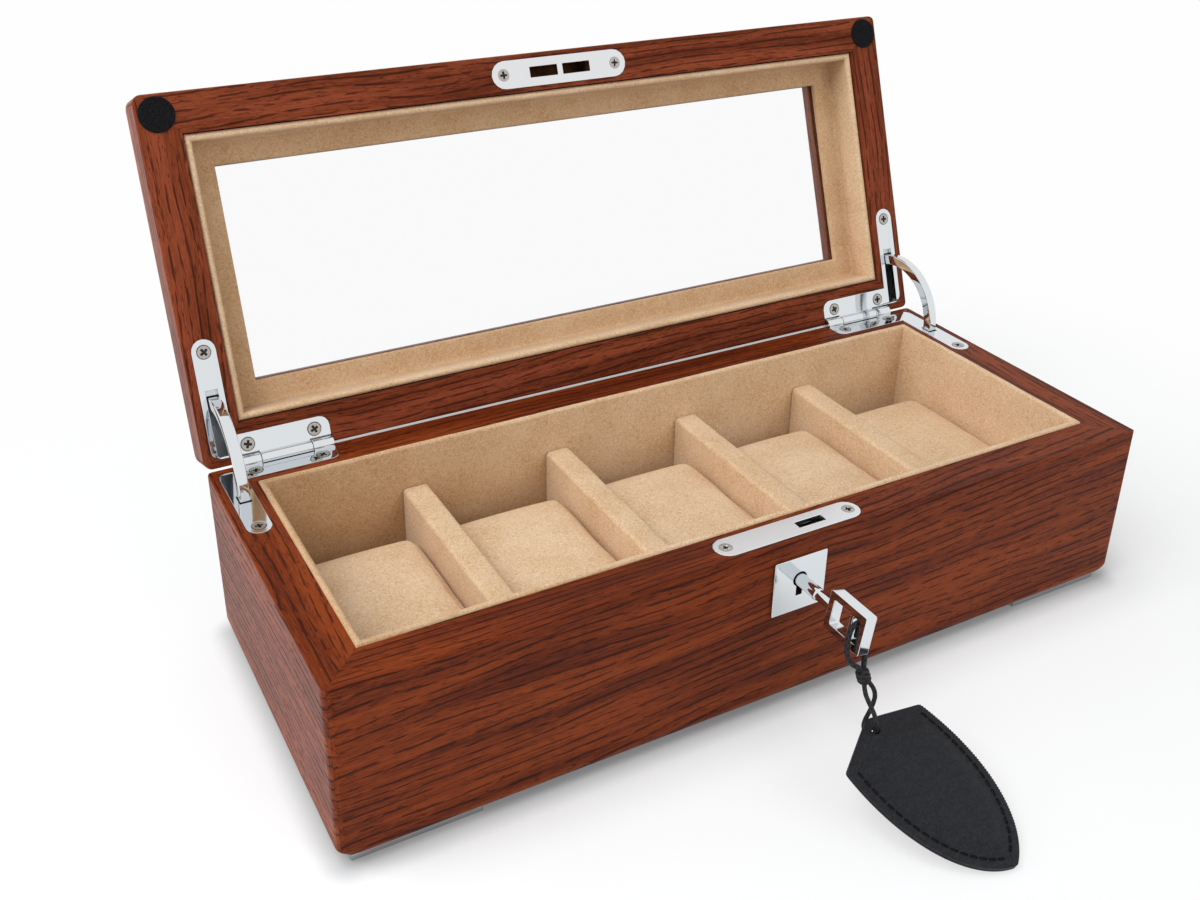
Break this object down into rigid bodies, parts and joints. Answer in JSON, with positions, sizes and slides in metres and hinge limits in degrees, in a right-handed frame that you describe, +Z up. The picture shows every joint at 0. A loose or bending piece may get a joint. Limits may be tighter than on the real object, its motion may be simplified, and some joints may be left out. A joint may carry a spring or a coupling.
{
  "type": "watch display case",
  "caption": "Hinged wooden case with a glazed lid, padded watch compartments, a hook lock, and a key on a leather fob.",
  "frame": {"origin": "centre of the underside of the bottom panel, level with the undersides of the walls", "axes": "+X to the right along the long front, +Y from the front with the lock to the hinges, +Z up; the lid is stored fully open"},
  "size_m": [0.34, 0.3083, 0.204],
  "materials": {
    "stained_wood": "red-brown stain, open pores, satin lacquer",
    "foot_metal": "polished metal plates",
    "suede": "beige microsuede",
    "polished_chrome": "mirror polished",
    "satin_chrome": "satin, bright edges",
    "screw_steel": "plated screws with cross recesses",
    "glass": "clear",
    "felt": "black felt",
    "black_leather": "grained leather, stitched edge",
    "waxed_cord": "waxed cord"
  },
  "bodies": {
    "case": {"base_front_wall": "stained_wood", "base_back_wall": "stained_wood", "base_left_wall": "stained_wood", "base_right_wall": "stained_wood", "base_bottom_panel": "stained_wood", "foot_front_left": "foot_metal", "foot_front_right": "foot_metal", "foot_back_left": "foot_metal", "foot_back_right": "foot_metal", "lining_front": "suede", "lining_back": "suede", "lining_left": "suede", "lining_right": "suede", "lining_floor": "suede", "divider_1": "suede", "divider_2": "suede", "divider_3": "suede", "divider_4": "suede", "hinge_base_leaf_left": "polished_chrome", "hinge_base_leaf_right": "polished_chrome", "escutcheon": "polished_chrome", "lock_case": "satin_chrome", "base_hinge_screw_left_1": "screw_steel", "base_hinge_screw_left_2": "screw_steel", "base_hinge_screw_left_3": "screw_steel", "base_hinge_screw_right_1": "screw_steel", "base_hinge_screw_right_2": "screw_steel", "base_hinge_screw_right_3": "screw_steel", "hinge_pin_left": "screw_steel", "hinge_pin_right": "screw_steel"},
    "lid": {"lid_front_rail": "stained_wood", "lid_back_rail": "stained_wood", "lid_left_rail": "stained_wood", "lid_right_rail": "stained_wood", "lid_lining": "suede", "hinge_lid_leaf_left": "polished_chrome", "hinge_lid_leaf_right": "polished_chrome", "strike_plate": "satin_chrome", "lid_hinge_screw_left_1": "screw_steel", "lid_hinge_screw_left_2": "screw_steel", "lid_hinge_screw_left_3": "screw_steel", "lid_hinge_screw_right_1": "screw_steel", "lid_hinge_screw_right_2": "screw_steel", "lid_hinge_screw_right_3": "screw_steel", "lid_glass": "glass", "felt_bumper_left": "felt", "felt_bumper_right": "felt"},
    "arm_left": {"stop_arm_left": "polished_chrome"},
    "arm_right": {"stop_arm_right": "polished_chrome"},
    "fob_on_cord": {"key_fob": "black_leather", "key_cord_upper": "waxed_cord", "key_cord_knot": "waxed_cord", "key_cord_lower": "waxed_cord"},
    "turning_key": {"key": "polished_chrome"},
    "hook": {"lock_hook": "satin_chrome"},
    "cushion_1": {"watch_cushion_1": "suede"},
    "cushion_2": {"watch_cushion_2": "suede"},
    "cushion_3": {"watch_cushion_3": "suede"},
    "cushion_4": {"watch_cushion_4": "suede"},
    "cushion_5": {"watch_cushion_5": "suede"}
  },
  "joints": [
    {"name": "lid_hinge", "type": "hinge", "parent": "case", "child": "lid", "pos_m": [0, 0.07, 0.0699], "axis": [-1, 0, 0], "range_deg": [-109.5, 0]},
    {"name": "stop_arm_left_swing", "type": "hinge", "parent": "case", "child": "arm_left", "pos_m": [0, 0.07, 0.0699], "axis": [-1, 0, 0], "range_deg": [-54.75, 0]},
    {"name": "stop_arm_right_swing", "type": "hinge", "parent": "case", "child": "arm_right", "pos_m": [0, 0.07, 0.0699], "axis": [-1, 0, 0], "range_deg": [-54.75, 0]},
    {"name": "key_pull", "type": "slide", "parent": "case", "child": "fob_on_cord", "axis": [0, 1, 0], "range_m": [-0.02, 0]},
    {"name": "key_turn", "type": "hinge", "parent": "fob_on_cord", "child": "turning_key", "pos_m": [0.002, -0.07, 0.0537], "axis": [0, -1, 0], "range_deg": [0, 90], "deforming": ["key_cord_upper"]},
    {"name": "hook_swing", "type": "hinge", "parent": "case", "child": "hook", "pos_m": [0.002, -0.062, 0.064], "axis": [0, -1, 0], "range_deg": [0, 92]},
    {"name": "cushion_1_lift", "type": "slide", "parent": "case", "child": "cushion_1", "axis": [0, 0, 1], "range_m": [0, 0.07]},
    {"name": "cushion_2_lift", "type": "slide", "parent": "case", "child": "cushion_2", "axis": [0, 0, 1], "range_m": [0, 0.07]},
    {"name": "cushion_3_lift", "type": "slide", "parent": "case", "child": "cushion_3", "axis": [0, 0, 1], "range_m": [0, 0.07]},
    {"name": "cushion_4_lift", "type": "slide", "parent": "case", "child": "cushion_4", "axis": [0, 0, 1], "range_m": [0, 0.07]},
    {"name": "cushion_5_lift", "type": "slide", "parent": "case", "child": "cushion_5", "axis": [0, 0, 1], "range_m": [0, 0.07]}
  ],
  "couplings": [
    {"joint": "stop_arm_left_swing", "follows": "lid_hinge", "ratio": 0.5},
    {"joint": "stop_arm_right_swing", "follows": "lid_hinge", "ratio": 0.5},
    {"joint": "hook_swing", "follows": "key_turn", "ratio": 1.0222}
  ]
}
